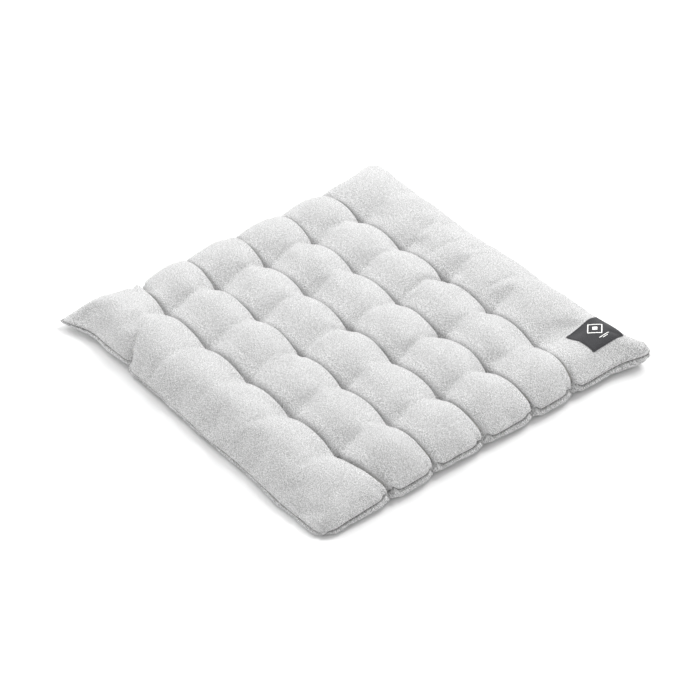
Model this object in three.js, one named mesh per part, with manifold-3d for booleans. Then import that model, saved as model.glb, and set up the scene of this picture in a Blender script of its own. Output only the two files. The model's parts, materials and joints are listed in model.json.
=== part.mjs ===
// A tufted chair seat pad, lying flat. Two fabric panels are sewn edge to edge round a core of wadding, and a
// grid of thread ties draws the two panels together, which leaves pillowed ridges with deep channels between them.
// Millimetres, +Z up. The origin is the middle of the footprint, on the surface that the pad lies on.
// X runs along the channels and Y across them. The woven label is near the +X +Y corner.

import * as THREE from "three";
import { mergeVertices } from "three/addons/utils/BufferGeometryUtils.js";
import Module from "manifold-3d";

const wasm = await Module();
wasm.setup();

// Pad
const padLength = 400; // X, seam to seam
const padWidth = 400; // Y, seam to seam
const cornerRadius = 14; // of the seam line, seen from above
const crownHeight = 40; // top of the ridges
const seamHeight = 9; // middle of the edge seam
const topEdgeReach = 38; // how far in from the seam the top panel goes on rising
const bottomEdgeReach = 13; // how far in from the seam the underside first meets the floor
const fabricThickness = 1.2;
const fitGap = 0.3; // between pieces that touch

// Tufting
const tuftsAlong = 5; // ties in one channel
const tuftsAcross = 5; // channels
const tuftPitchX = 65.5;
const tuftPitchY = 61;
const tuftTopHeight = 16; // top panel where a tie holds it down
const tuftBottomHeight = 5; // bottom panel where a tie holds it up
const tuftFlat = 4; // half the width of the flat spot under a tie's stitch
const channelRise = 0.45; // height of a channel midway between two ties, as a share of the ridge's
const ridgeDip = 0.15; // how much of the ridge's height is lost beside a tie
const dimpleShareX = 0.5; // length of the slope beside a tie, as a share of the gap between two ties of a channel
const dimpleShareY = 0.24; // width of that slope, as a share of the gap between two channels
const edgeShares = [0, 0.08, 0.26, 0.56]; // grid lines outside the last tie, as shares of that strip

// Threads
const tieRadius = 0.8;
const tieStitchRadius = 2;
const tieStitchHeight = 1;
const tieKnotRadius = 2.2;
const tieKnotHeight = 2;
const tieBevel = 0.7; // the narrow end of a stitch or knot, as a share of its radius
const tieSides = 6;
const seamThreadWidth = 1;
const seamThreadInset = 0.1; // from the panels' outline to the thread
const closingLength = 180; // the opening that the wadding goes in through, sewn shut last
const coreEdgeHeight = 1; // blunt edge of the wadding

// Label
const labelLength = 37; // X
const labelWidth = 40; // Y
const labelEdgeX = 20; // from the pad's +X seam to the label
const labelEdgeY = 11.5; // from the pad's +Y seam to the label
const labelThickness = 0.8;
const labelCorner = 0.5;
const labelStitchInset = 1.5;
const labelStitchWidth = 0.6;

const halfLength = padLength / 2;
const halfWidth = padWidth / 2;
const rimGap = seamThreadWidth / 2 + fitGap; // from the seam's middle to either panel's edge

const melange = { color: 0xd9d9d8, roughness: 0.95, metalness: 0 };
const coverTop = new THREE.MeshStandardMaterial(melange);
const coverBottom = new THREE.MeshStandardMaterial(melange);
const wadding = new THREE.MeshStandardMaterial({ color: 0xf4f2ec, roughness: 1, metalness: 0 });
const paleThread = new THREE.MeshStandardMaterial({ color: 0xc8c8c6, roughness: 0.8, metalness: 0 });
const labelCloth = new THREE.MeshStandardMaterial({ color: 0x3a3a3b, roughness: 0.85, metalness: 0 });
const labelThread = new THREE.MeshStandardMaterial({ color: 0x2b2b2c, roughness: 0.8, metalness: 0 });

const pad = new THREE.Group();

// Places of the ties along one axis, centred on the pad.
function tuftPlaces(count, pitch) {
  return Array.from({ length: count }, (_, k) => (k - (count - 1) / 2) * pitch);
}

const tuftXs = tuftPlaces(tuftsAlong, tuftPitchX);
const tuftYs = tuftPlaces(tuftsAcross, tuftPitchY);

// Grid lines along one axis: closer together at the seam, and a pair beside each tie round its flat spot.
function gridLines(half, tufts, pitch, gapShares) {
  const strip = half - tufts.at(-1) - tuftFlat;
  const edge = edgeShares.map((share) => half - share * strip);
  const inner = tufts.flatMap((place) => [place - tuftFlat, place + tuftFlat]);
  const between = tufts
    .slice(1)
    .flatMap((place) => gapShares.map((share) => place - tuftFlat - share * (pitch - 2 * tuftFlat)));
  return [...edge.map((place) => -place), ...inner, ...between, ...edge].sort((a, b) => a - b);
}

const linesX = gridLines(halfLength, tuftXs, tuftPitchX, [dimpleShareX]);
const linesY = gridLines(halfWidth, tuftYs, tuftPitchY, [dimpleShareY, 0.5, 1 - dimpleShareY]);

// Distance of a place from the nearest tie along one axis, negative on its low side.
function fromTuft(place, tufts) {
  return tufts.map((tuft) => place - tuft).reduce((a, b) => (Math.abs(b) < Math.abs(a) ? b : a));
}

// How far a place is past the flat spot of the nearest tie along one axis.
function pastTuft(place, tufts) {
  return Math.max(0, Math.abs(fromTuft(place, tufts)) - tuftFlat);
}

// 0 on a line of ties, rising to 1 midway between two lines, and 1 from there on outside the last line.
function swell(place, tufts, pitch) {
  const share = Math.min(1, pastTuft(place, tufts) / (pitch / 2 - tuftFlat));
  return Math.sin((Math.PI / 2) * share);
}

// 0 at the seam, rising like a quarter ellipse to 1 at the given reach.
function edgeRise(place, half, reach) {
  const share = Math.min(1, (half - Math.abs(place)) / reach);
  return Math.sqrt(Math.max(0, 1 - (1 - share) ** 2));
}

function topHeight(x, y) {
  const along = swell(x, tuftXs, tuftPitchX);
  const across = swell(y, tuftYs, tuftPitchY);
  const puff = across * (1 - ridgeDip * (1 - along)) + channelRise * along * (1 - across);
  const rim = seamHeight + rimGap;
  const full = tuftTopHeight + (crownHeight - tuftTopHeight) * puff;
  const rise = edgeRise(x, halfLength, topEdgeReach) * edgeRise(y, halfWidth, topEdgeReach);
  return rim + (full - rim) * rise;
}

function bottomHeight(x, y) {
  const nearX = Math.max(0, 1 - pastTuft(x, tuftXs) / (dimpleShareX * (tuftPitchX - 2 * tuftFlat)));
  const nearY = Math.max(0, 1 - pastTuft(y, tuftYs) / (dimpleShareY * (tuftPitchY - 2 * tuftFlat)));
  const rise = edgeRise(x, halfLength, bottomEdgeReach) * edgeRise(y, halfWidth, bottomEdgeReach);
  return (seamHeight - rimGap) * (1 - rise) + tuftBottomHeight * nearX * nearY;
}

// Moves a place in a square corner of the grid onto the rounded corner of the pad.
function roundedPlan(x, y) {
  const pastX = Math.abs(x) - (halfLength - cornerRadius);
  const pastY = Math.abs(y) - (halfWidth - cornerRadius);
  if (pastX <= 0 || pastY <= 0) return [x, y];
  const pull = Math.max(pastX, pastY) / Math.hypot(pastX, pastY);
  return [
    Math.sign(x) * (halfLength - cornerRadius + pastX * pull),
    Math.sign(y) * (halfWidth - cornerRadius + pastY * pull),
  ];
}

function gridPoint(i, j, height) {
  const x = linesX[THREE.MathUtils.clamp(i, 0, linesX.length - 1)];
  const y = linesY[THREE.MathUtils.clamp(j, 0, linesY.length - 1)];
  return new THREE.Vector3(...roundedPlan(x, y), height(x, y));
}

function isRim(i, j) {
  return i === 0 || j === 0 || i === linesX.length - 1 || j === linesY.length - 1;
}

// Direction out of the seam line, level, at a point on it.
function rimDirection(point) {
  const out = new THREE.Vector3(
    Math.max(0, Math.abs(point.x) - (halfLength - cornerRadius)) * Math.sign(point.x),
    Math.max(0, Math.abs(point.y) - (halfWidth - cornerRadius)) * Math.sign(point.y),
    0,
  );
  return out.normalize();
}

// A point of one panel's outer surface, moved outwards by the given distance. side is 1 on top and -1 below.
function surfacePoint(i, j, height, side, distance) {
  const point = gridPoint(i, j, height);
  if (isRim(i, j)) return point.addScaledVector(rimDirection(point), distance);
  const alongX = gridPoint(i + 1, j, height).sub(gridPoint(i - 1, j, height));
  const alongY = gridPoint(i, j + 1, height).sub(gridPoint(i, j - 1, height));
  const out = alongX.cross(alongY).normalize().multiplyScalar(side);
  return point.addScaledVector(out, distance);
}

// A closed body on the grid, between a lower and an upper surface. Both are split into triangles alike, each
// cell along the diagonal that points at its nearest tie, so surfaces a short way apart never cross.
function gridBody(lower, upper) {
  const points = linesX.flatMap((_, i) => linesY.flatMap((__, j) => [lower(i, j), upper(i, j)]));
  const below = (i, j) => 2 * (i * linesY.length + j);
  const above = (i, j) => below(i, j) + 1;
  const [lastX, lastY] = [linesX.length - 1, linesY.length - 1];
  const triangles = [];
  const addQuad = (a, b, c, d) => triangles.push(a, b, c, a, c, d);

  for (let i = 0; i < lastX; i++) {
    for (let j = 0; j < lastY; j++) {
      const pastX = fromTuft((linesX[i] + linesX[i + 1]) / 2, tuftXs);
      const pastY = fromTuft((linesY[j] + linesY[j + 1]) / 2, tuftYs);
      const cell = [[i, j], [i + 1, j], [i + 1, j + 1], [i, j + 1]];
      if (pastX * pastY < 0) cell.push(cell.shift());
      addQuad(...cell.map((corner) => above(...corner)));
      addQuad(...cell.map((corner) => below(...corner)).map((_, k, all) => all[(4 - k) % 4]));
    }
  }
  for (let i = 0; i < lastX; i++) {
    addQuad(below(i, 0), below(i + 1, 0), above(i + 1, 0), above(i, 0));
    addQuad(below(i + 1, lastY), below(i, lastY), above(i, lastY), above(i + 1, lastY));
  }
  for (let j = 0; j < lastY; j++) {
    addQuad(below(lastX, j), below(lastX, j + 1), above(lastX, j + 1), above(lastX, j));
    addQuad(below(0, j + 1), below(0, j), above(0, j), above(0, j + 1));
  }
  return new THREE.BufferGeometry().setFromPoints(points).setIndex(triangles);
}

function solidFrom(geometry) {
  const bare = geometry.clone();
  bare.deleteAttribute("normal");
  bare.deleteAttribute("uv");
  const merged = mergeVertices(bare, 1e-4);
  return new wasm.Manifold(
    new wasm.Mesh({
      numProp: 3,
      vertProperties: merged.getAttribute("position").array,
      triVerts: Uint32Array.from(merged.index.array),
    }),
  );
}

function geometryFrom(solid) {
  const { vertProperties, triVerts } = solid.getMesh();
  const geometry = new THREE.BufferGeometry();
  geometry.setAttribute("position", new THREE.BufferAttribute(vertProperties, 3));
  geometry.setIndex(new THREE.BufferAttribute(triVerts, 1));
  geometry.computeVertexNormals();
  return geometry;
}

function addPiece(name, geometry, material) {
  const mesh = new THREE.Mesh(geometry, material);
  mesh.name = name;
  pad.add(mesh);
  return mesh;
}

// A rectangle with round corners, seen from above and centred on a point.
function roundedRectangle(length, width, radius, centreX = 0, centreY = 0) {
  const shape = new THREE.Shape();
  const [x, y] = [length / 2 - radius, width / 2 - radius];
  const quarter = Math.PI / 2;
  shape.absarc(centreX + x, centreY + y, radius, 0, quarter);
  shape.absarc(centreX - x, centreY + y, radius, quarter, 2 * quarter);
  shape.absarc(centreX - x, centreY - y, radius, 2 * quarter, 3 * quarter);
  shape.absarc(centreX + x, centreY - y, radius, 3 * quarter, 4 * quarter);
  return shape;
}

function prism(shape, low, high) {
  const upright = { depth: high - low, bevelEnabled: false, curveSegments: 4 };
  return new THREE.ExtrudeGeometry(shape, upright).translate(0, 0, low);
}

// Opens a hole for every tie through a body on the grid.
function withTieHoles(body) {
  const radius = tieRadius + fitGap;
  const needle = new THREE.CylinderGeometry(radius, radius, 2 * crownHeight, tieSides).rotateX(Math.PI / 2);
  const cutter = solidFrom(needle);
  const places = tuftXs.flatMap((x) => tuftYs.map((y) => [x, y, 0]));
  return places.reduce((left, place) => left.subtract(cutter.translate(place)), body);
}

const topPoint = (distance) => (i, j) => surfacePoint(i, j, topHeight, 1, distance);
const bottomPoint = (distance) => (i, j) => surfacePoint(i, j, bottomHeight, -1, distance);

function addTopCover() {
  const body = solidFrom(gridBody(topPoint(-fabricThickness), topPoint(0)));
  addPiece("top_cover", geometryFrom(withTieHoles(body)), coverTop);
}

function addBottomCover() {
  const body = solidFrom(gridBody(bottomPoint(0), bottomPoint(-fabricThickness)));
  addPiece("bottom_cover", geometryFrom(withTieHoles(body)), coverBottom);
}

function addWaddingCore() {
  const inset = fabricThickness + fitGap;
  const rimInset = seamThreadInset + seamThreadWidth + fabricThickness;
  const corePoint = (point, side) => (i, j) => {
    if (!isRim(i, j)) return point(-inset)(i, j);
    const rim = point(-rimInset)(i, j);
    return rim.setZ(seamHeight + (side * coreEdgeHeight) / 2);
  };
  const body = solidFrom(gridBody(corePoint(bottomPoint, -1), corePoint(topPoint, 1)));
  addPiece("wadding_core", geometryFrom(withTieHoles(body)), wadding);
}

// The seam's thread lies between the edges of the two panels. The closing thread fills the gap that it leaves
// in the middle of the -X side.
function addSeamThreads() {
  const seamLine = (inset) =>
    roundedRectangle(padLength - 2 * inset, padWidth - 2 * inset, cornerRadius - inset);
  const outline = seamLine(seamThreadInset);
  outline.holes.push(seamLine(seamThreadInset + seamThreadWidth));
  const low = seamHeight - seamThreadWidth / 2;
  const ring = solidFrom(prism(outline, low, low + seamThreadWidth));
  const opening = (length) => {
    const block = new THREE.BoxGeometry(4 * seamThreadWidth, length, 4 * seamThreadWidth);
    return solidFrom(block.translate(-halfLength, 0, seamHeight));
  };
  const seam = ring.subtract(opening(closingLength + 2 * fitGap));
  addPiece("edge_seam_thread", geometryFrom(seam), paleThread);
  addPiece("closing_thread", geometryFrom(ring.intersect(opening(closingLength))), paleThread);
}

// One tie: a stitch on the top panel, the strand through the wadding, and the knot below the bottom panel.
function tieGeometry() {
  const knotTop = tuftBottomHeight - fitGap;
  const stitchBase = tuftTopHeight + fitGap;
  const profile = [
    [0, knotTop - tieKnotHeight],
    [tieBevel * tieKnotRadius, knotTop - tieKnotHeight],
    [tieKnotRadius, knotTop - tieKnotHeight / 2],
    [tieBevel * tieKnotRadius, knotTop],
    [tieRadius, knotTop],
    [tieRadius, stitchBase],
    [tieStitchRadius, stitchBase],
    [tieBevel * tieStitchRadius, stitchBase + tieStitchHeight],
    [0, stitchBase + tieStitchHeight],
  ];
  const points = profile.map(([radius, z]) => new THREE.Vector2(radius, z));
  return new THREE.LatheGeometry(points, tieSides).rotateX(Math.PI / 2);
}

function addTies() {
  const geometry = tieGeometry();
  tuftYs.forEach((y, row) =>
    tuftXs.forEach((x, column) => {
      const tie = addPiece(`tuft_tie_${row + 1}_${column + 1}`, geometry, paleThread);
      tie.position.set(x, y, 0);
    }),
  );
}

// A layer that follows the top panel between two distances above it, cut to an outline.
function layerOnTop(outline, from, to) {
  const layer = solidFrom(gridBody(topPoint(from), topPoint(to)));
  return layer.intersect(solidFrom(prism(outline, 0, 2 * crownHeight)));
}

function addLabel() {
  const centreX = halfLength - labelEdgeX - labelLength / 2;
  const centreY = halfWidth - labelEdgeY - labelWidth / 2;
  const outlineAt = (inset) =>
    roundedRectangle(labelLength - 2 * inset, labelWidth - 2 * inset, labelCorner, centreX, centreY);
  const top = fitGap + labelThickness;
  addPiece("woven_label", geometryFrom(layerOnTop(outlineAt(0), fitGap, top)), labelCloth);

  const stitchLine = outlineAt(labelStitchInset);
  stitchLine.holes.push(outlineAt(labelStitchInset + labelStitchWidth));
  const stitches = layerOnTop(stitchLine, top + fitGap, top + fitGap + labelStitchWidth);
  addPiece("label_stitching", geometryFrom(stitches), labelThread);
}

addBottomCover();
addWaddingCore();
addTopCover();
addSeamThreads();
addTies();
addLabel();

export default pad;
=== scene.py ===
"""A tufted chair seat pad: two panels of melange cloth round wadding, drawn together by thread ties."""

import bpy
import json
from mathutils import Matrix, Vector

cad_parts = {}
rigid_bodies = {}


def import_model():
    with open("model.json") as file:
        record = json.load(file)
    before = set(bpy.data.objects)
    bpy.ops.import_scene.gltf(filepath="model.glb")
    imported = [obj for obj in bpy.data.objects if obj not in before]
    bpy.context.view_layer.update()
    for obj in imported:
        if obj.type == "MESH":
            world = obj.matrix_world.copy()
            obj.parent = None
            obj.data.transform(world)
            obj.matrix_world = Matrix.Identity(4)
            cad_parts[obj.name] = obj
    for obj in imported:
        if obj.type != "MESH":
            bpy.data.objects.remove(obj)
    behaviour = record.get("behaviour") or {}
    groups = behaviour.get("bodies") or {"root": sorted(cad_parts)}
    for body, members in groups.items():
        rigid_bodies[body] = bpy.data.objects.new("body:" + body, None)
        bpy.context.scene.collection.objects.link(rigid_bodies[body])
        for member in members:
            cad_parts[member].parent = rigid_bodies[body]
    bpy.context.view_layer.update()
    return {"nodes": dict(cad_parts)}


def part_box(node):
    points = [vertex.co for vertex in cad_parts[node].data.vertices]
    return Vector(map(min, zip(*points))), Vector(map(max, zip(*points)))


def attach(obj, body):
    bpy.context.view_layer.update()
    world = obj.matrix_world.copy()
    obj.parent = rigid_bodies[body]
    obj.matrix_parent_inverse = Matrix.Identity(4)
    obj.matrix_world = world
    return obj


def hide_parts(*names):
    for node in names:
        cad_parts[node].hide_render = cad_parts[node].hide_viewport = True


bl_info = {
    "name": "Tufted Seat Pad",
    "version": (1, 0, 0),
    "blender": (4, 5, 0),
    "location": "View3D > Sidebar > Seat Pad",
    "description": "Builds a tufted seat pad with its seam, ties and woven label round a packed frame",
    "category": "Object",
}

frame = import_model()

import json
import math
from functools import partial

import bpy
import numpy as np
from bpy.props import FloatProperty, FloatVectorProperty, IntProperty, PointerProperty
from bpy.types import Operator, Panel, PropertyGroup
from mathutils import Matrix, Vector

MM = 0.001
TINY = 1e-9

# Places in the frame
TOP_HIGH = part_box("top_cover")[1]
LABEL_LOW, LABEL_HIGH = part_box("woven_label")
CLOSING_LOW, CLOSING_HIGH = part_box("closing_thread")
TIES = sorted(name for name in frame["nodes"] if name.startswith("tuft_tie_"))
HALF_X = TOP_HIGH.x
HALF_Y = TOP_HIGH.y


def tie_middle(name):
    low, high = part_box(name)
    return (low + high) / 2


TIE_X = sorted({round(tie_middle(name).x, 5) for name in TIES})
TIE_Y = sorted({round(tie_middle(name).y, 5) for name in TIES})
LAST_X = TIE_X[-1]
LAST_Y = TIE_Y[-1]
PITCH_X = TIE_X[1] - TIE_X[0]
PITCH_Y = TIE_Y[1] - TIE_Y[0]
# The top panel's height at a tie, and on a ridge before folds and unevenness
TIE_TOP = tie_middle(TIES[0]).z + 5.6 * MM
CREST = 0.95 * TOP_HIGH.z

# Cells of the simulated cloth, and how much closer they are beside a line of ties or the seam
GRID_X = {"between": 18, "outside": 18, "bunching": 0.1}
GRID_Y = {"between": 17, "outside": 20, "bunching": 0.5}

# Corners, as the signs of x and y: how sharp the outline is, how far its tip goes out, how far it lifts
CORNERS = {
    (-1, -1): {"radius": 5 * MM, "out": (9 * MM, 13 * MM), "lift": -5 * MM, "reach": 22 * MM},
    (1, -1): {"radius": 19 * MM, "out": (-2 * MM, -2 * MM), "lift": -4 * MM, "reach": 30 * MM},
    (1, 1): {"radius": 12 * MM, "out": (11 * MM, 7 * MM), "lift": 5 * MM, "reach": 15 * MM},
    (-1, 1): {"radius": 9 * MM, "out": (8 * MM, 2 * MM), "lift": 9 * MM, "reach": 40 * MM},
}
LIFT_SPREAD = 1.4  # how much further a corner's lift reaches than its tip

# The seam: how far each side lies outside the nominal outline, and how high, before notches and corners
SIDE_OUT = {"-x": -1 * MM, "+x": -4 * MM, "-y": -8.5 * MM, "+y": 1.5 * MM}
SIDE_LIFT = {"-x": 12 * MM, "+x": 11 * MM, "-y": 5.5 * MM, "+y": 10 * MM}
OUT_FADE = 1.5  # how quickly the sides' and the corners' changes fade from the seam inwards
NOTCH_WIDTH = 4 * MM
ROW_DRIFT = 11 * MM  # how far the outer channels turn in on their way to the seam
PLEAT = {"at": -104 * MM, "lift": 4.5 * MM, "in": 3.5 * MM, "width": 1.6 * MM, "reach": 14 * MM}
# The seam's rise beside a notch, and its drop in the notch as a share of that
LIP = {"height": 2.8 * MM, "at": 6 * MM, "width": 3.5 * MM, "reach": 8 * MM, "drop": 0.5}
# The turned-in cloth that fills the +X +Y corner, above the seam
KNOB = {"height": 3.6 * MM, "at": 7 * MM, "width": 7 * MM, "edge": 3 * MM}
GROOVE_WIDTH = 0.8 * MM
TOP_BEAD = {"height": 0.6 * MM, "at": 2.2 * MM, "width": 1.6 * MM}
BOTTOM_BEAD = {"at": 2.5 * MM, "width": 2.4 * MM}
NOTCH_TUCK = 0.8  # share of the bottom bead that is tucked away in a notch
KNOB_TUCK = {"share": 0.7, "reach": 14 * MM}  # the same under the knob
CORNER_TURN = 24 * MM  # how near the corner the direction out of the pad turns

# Pillows between four ties
WIDE_FLANK = 84 * MM  # twice the run of the back ridge's flank from the last line of ties
LEAN = 0.12  # how far a crest leans towards +Y
LEFT_LEAN = 0.3  # how much further it leans at the -X end
SADDLE = 0.75  # how slowly a ridge rises from its dips
CREST_SADDLE = 0.35  # how much more slowly along its crest
FLANK = 0.72  # how slowly a flank rises from its channel
FULL_FLANK = 0.27  # how much faster it rises midway between two dips
END_DIP = {"deeper": 0.8, "reach": 25 * MM}  # the dips in the first and the last column
LEFT_CHANNEL = 2.0  # how much the channels rise on their way to the -X seam
RIGHT_CHANNEL = -0.4  # the same at the +X seam, where they sink

# Slopes from the seam up to the ridges
SLOPE_EASE = 0.85  # how softly a slope starts
ROUND_SHARE = 0.6  # how much of the +X slope is a quarter of an ellipse
ROUND_REACH = 0.85  # that ellipse's run, as a share of the slope's
STEEPER = {"by": 0.1, "reach": 70 * MM}  # near the +X -Y corner
EDGE_BLEND = 2.2  # how squarely the slopes of two sides meet
FULLER = {(1, 1): 0.3, (-1, 1): 0.6}  # how much more squarely they meet at two corners
FULLER_REACH = 60 * MM

# The underside
TIE_DIMPLE = (10 * MM, 8 * MM)  # how far a dimple reaches along X and along Y
ROLL_UNDER = {"share": 0.4, "least": 4 * MM}  # how far in it meets the floor, by the seam's height
FLOOR_GAP = 0.6 * MM
LEAST_HEIGHT = 0.2 * MM

# Unevenness: how strong it is, how long its waves are, and the seed of their directions
SEAM_RIPPLE = {"by": 0.6 * MM, "size": 60 * MM, "seed": 3}
OUTLINE_RIPPLE = {"by": 1.0 * MM, "size": 90 * MM, "seed": 5}
CREST_RIPPLE = {"by": 1.5 * MM, "size": 100 * MM, "seed": 11}
DIP_RIPPLE = {"by": 0.4, "size": 80 * MM, "seed": 21}

# Places where the filling is thinner
DENTS = [
    {"at": (0.142, 0.154), "depth": 13 * MM, "reach": 30 * MM},
    {"at": (-0.182, -0.130), "depth": 16 * MM, "reach": 28 * MM},
    {"at": (0.175, -0.175), "depth": 13 * MM, "reach": 50 * MM},
]


def crease(x0, y0, x1, y1, depth, width):
    """A fold in the top cloth, in mm: its two ends on the flat panel, its depth at the first, its width."""
    return {"from": (x0 * MM, y0 * MM), "to": (x1 * MM, y1 * MM), "depth": depth * MM, "width": width * MM}


FOLDS = [
    crease(-104, -200, -117, -164, 8.0, 2.4),
    crease(65.5, 61, 64, 12, 6.0, 2.6),
    crease(0, 0, 2, -48, 5.5, 2.6),
    crease(0, 122, -2, 76, 6.0, 2.6),
    crease(131, 61, 136, 14, 2.9, 2.8),
    crease(131, 0, 133, -46, 2.6, 2.8),
    crease(65.5, 122, 68, 80, 2.3, 2.8),
    crease(-131, -61, -133, -112, 2.6, 3.1),
    crease(-131, 0, -134, -50, 2.6, 3.1),
    crease(-131, 61, -133, 12, 2.9, 3.1),
    crease(-131, 122, -134, 80, 2.1, 3.1),
    crease(0, -61, 3, -100, 2.3, 2.8),
    crease(-35, 132, -20, 185, 1.8, 3.5),
    crease(45, 140, 62, 196, 2.1, 2.8),
    crease(131, -122, 164, -128, 3.4, 2.1),
    crease(170, -170, 188, -192, 1.8, 2.8),
    crease(172, 180, 190, 190, 2.1, 2.4),
]
CHANNEL_FOLD = {"depth": (2.8 * MM, 7.5 * MM), "width": (1.6 * MM, 2.0 * MM)}  # at a tie and at the seam
FOLD_FADE = 0.85  # how much of its depth a fold loses from its first end to its second
# The pleats beside each channel where it meets the +X and -X seams, and how much they differ in turn
NOTCH_FOLDS = [
    {"gap": 4 * MM, "run": 30 * MM, "depth": 5.5 * MM, "width": 3 * MM},
    {"gap": -9 * MM, "run": 16 * MM, "depth": 2.6 * MM, "width": 2.2 * MM},
]
NOTCH_TURN = 1 * MM
# The ridges' bulge over the channels
OVERHANG = {"at": 6 * MM, "by": 2.6 * MM, "width": 4 * MM, "more": 0.4, "fade": 8 * MM}
# The little folds that fan out from each tie; the fan turns by so much for each metre along X and Y
PUCKER = {"depth": 0.9 * MM, "reach": 9 * MM, "folds": 7, "turn": (40, 90)}

# The wadding inside: how far in from the panels it lies, in cloth thicknesses, and how far from the seam
WADDING_INSIDE = 1.5
WADDING_DRAWN_IN = {"by": 5 * MM, "reach": 6 * MM}

# Threads and label
STITCH_ARCH = 0.18  # how high a stitch arches, in thread thicknesses
LEAST_STEP = 0.3 * MM  # between two points of a stitched line
CLOSING = {"stitch": 1.4, "pitch": 1.6, "thickness": 1.1}  # hand stitches, against the machine's
LABEL_LIFT = 0.25 * MM
MARK_LIFT = 0.02 * MM
MARK_THICKNESS = 0.2 * MM
LABEL_STITCH = {"stitch": 2.0 * MM, "pitch": 3.0 * MM, "thickness": 0.45 * MM}

# The weave
TAKE_UP = 1.3  # metres of cloth over the ridges for each metre of the flat outline
YARN_PITCH = 1.1 * MM

# The stage
LIGHTS = [
    {"name": "key_light", "place": (-0.15, 1.7, 2.0), "size": 1.4, "power": 52},
    {"name": "side_light", "place": (-1.9, -0.2, 1.6), "size": 1.6, "power": 27},
    {"name": "front_light", "place": (1.1, -2.1, 1.9), "size": 2.0, "power": 17},
]
WORLD_STRENGTH = 0.52
FLOOR_SIZE = 8
CAMERA = {
    "turn": 50.74,  # degrees round from the -Y side
    "tilt": 38.96,  # degrees up
    "away": 1.931,
    "height": 16 * MM,  # it looks at a place so high over the origin,
    "right": -0.85 * MM,  # so far to its right
    "up": -14.76 * MM,  # and so far up
    "lens": 102.86,
    "sensor": 36,
}

# The cloth's behaviour in the simulation
FABRIC = {
    "quality": 6,
    "mass": 0.3,
    "air_damping": 1.0,
    "tension_stiffness": 40,
    "compression_stiffness": 10,
    "shear_stiffness": 5,
    "bending_stiffness": 0.5,
    "use_pressure": True,
}
CONTACT = 0.5 * MM
TABLE_FRICTION = 5


# ---- Sizes and colours


def length(name, description, default):
    return FloatProperty(name=name, description=description, default=default, unit="LENGTH", precision=4)


def fraction(name, description, default):
    return FloatProperty(name=name, description=description, default=default, subtype="FACTOR")


def colour(name, description, default):
    return FloatVectorProperty(
        name=name, description=description, default=default, subtype="COLOR", min=0, max=1
    )


class SeatPadCase(PropertyGroup):
    crest: length("Ridge height", "Top of the ridges above the floor", CREST)
    tie_top: length("Tie height, top", "Top panel where a tie holds it down", TIE_TOP)
    tie_bottom: length("Tie height, bottom", "Bottom panel where a tie holds it up", 4.5 * MM)
    cloth: length("Cloth thickness", "Thickness of one panel", 1.0 * MM)
    left_slope: length("Slope, -X", "How far in from the -X side the ridges go on rising", 38 * MM)
    right_slope: length("Slope, +X", "The same at the +X side", 46 * MM)
    front_slope: length("Slope, -Y", "The same at the -Y side", 44 * MM)
    back_slope: length("Slope, +Y", "The same at the +Y side", 34 * MM)
    notch: length("Notch", "How far a channel draws the seam in", 4 * MM)
    groove: length("Seam groove", "Depth of the groove at the seam", 2.0 * MM)
    dip: fraction("Dip", "Share of its height that a ridge loses at a tie", 0.11)
    channel: fraction("Channel", "Height of a channel between ties, 0 to 1", 0.16)
    bead: length("Seam roll", "How far the bottom panel rolls out under the seam", 2.8 * MM)
    slack_across: fraction("Slack across", "Spare cloth across the channels", 0.04)
    slack_all: fraction("Slack", "Spare cloth in both directions", 0.015)
    pressure: FloatProperty(name="Pressure", description="Push of the wadding on the cloth", default=2.5)
    frames: IntProperty(name="Settling frames", description="Length of the cloth simulation", default=22)


class SeatPadThreads(PropertyGroup):
    stitch: length("Stitch length", "Length of a seam stitch", 3.0 * MM)
    pitch: length("Stitch pitch", "From one seam stitch to the next", 3.2 * MM)
    thickness: length("Thread thickness", "Diameter of the seam thread", 0.9 * MM)
    tie_thickness: length("Tie thickness", "Diameter of a tie's thread", 1.1 * MM)


class SeatPadLabel(PropertyGroup):
    thickness: length("Label thickness", "Thickness of the woven label", 0.7 * MM)
    stitch_inset: length("Stitch inset", "From the label's edge to its stitches", 1.6 * MM)
    mark: length("Mark size", "Width of the woven mark", 20 * MM)


class SeatPadColours(PropertyGroup):
    cloth_pale: colour("Cloth, pale yarn", "Lightest yarn of the melange", (0.83, 0.83, 0.83))
    cloth_dark: colour("Cloth, dark yarn", "Darkest yarn of the melange", (0.29, 0.29, 0.29))
    thread: colour("Thread", "Seam and tie thread", (0.10, 0.10, 0.10))
    label_thread: colour("Label thread", "Stitches round the label", (0.05, 0.05, 0.052))
    wadding: colour("Wadding", "Fibre filling", (0.86, 0.85, 0.82))
    label: colour("Label", "Ground of the woven label", (0.018, 0.018, 0.020))
    mark: colour("Label mark", "Light yarn of the label's mark", (0.62, 0.62, 0.61))
    floor: colour("Floor", "Studio floor", (0.93, 0.93, 0.93))


# ---- Helpers


def deselect_all():
    """Leaves edit mode, with nothing selected."""
    if bpy.context.object and bpy.context.object.mode != "OBJECT":
        bpy.ops.object.mode_set(mode="OBJECT")
    bpy.ops.object.select_all(action="DESELECT")


def select_only(piece):
    deselect_all()
    piece.select_set(True)
    bpy.context.view_layer.objects.active = piece


def added(name):
    """The primitive that an operator has just added, renamed."""
    piece = bpy.context.object
    piece.name = piece.data.name = name
    return piece


def duplicate(piece, name):
    select_only(piece)
    bpy.ops.object.duplicate()
    return added(name)


def join(pieces, name):
    select_only(pieces[0])
    for piece in pieces:
        piece.select_set(True)
    bpy.ops.object.join()
    return added(name)


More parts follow.
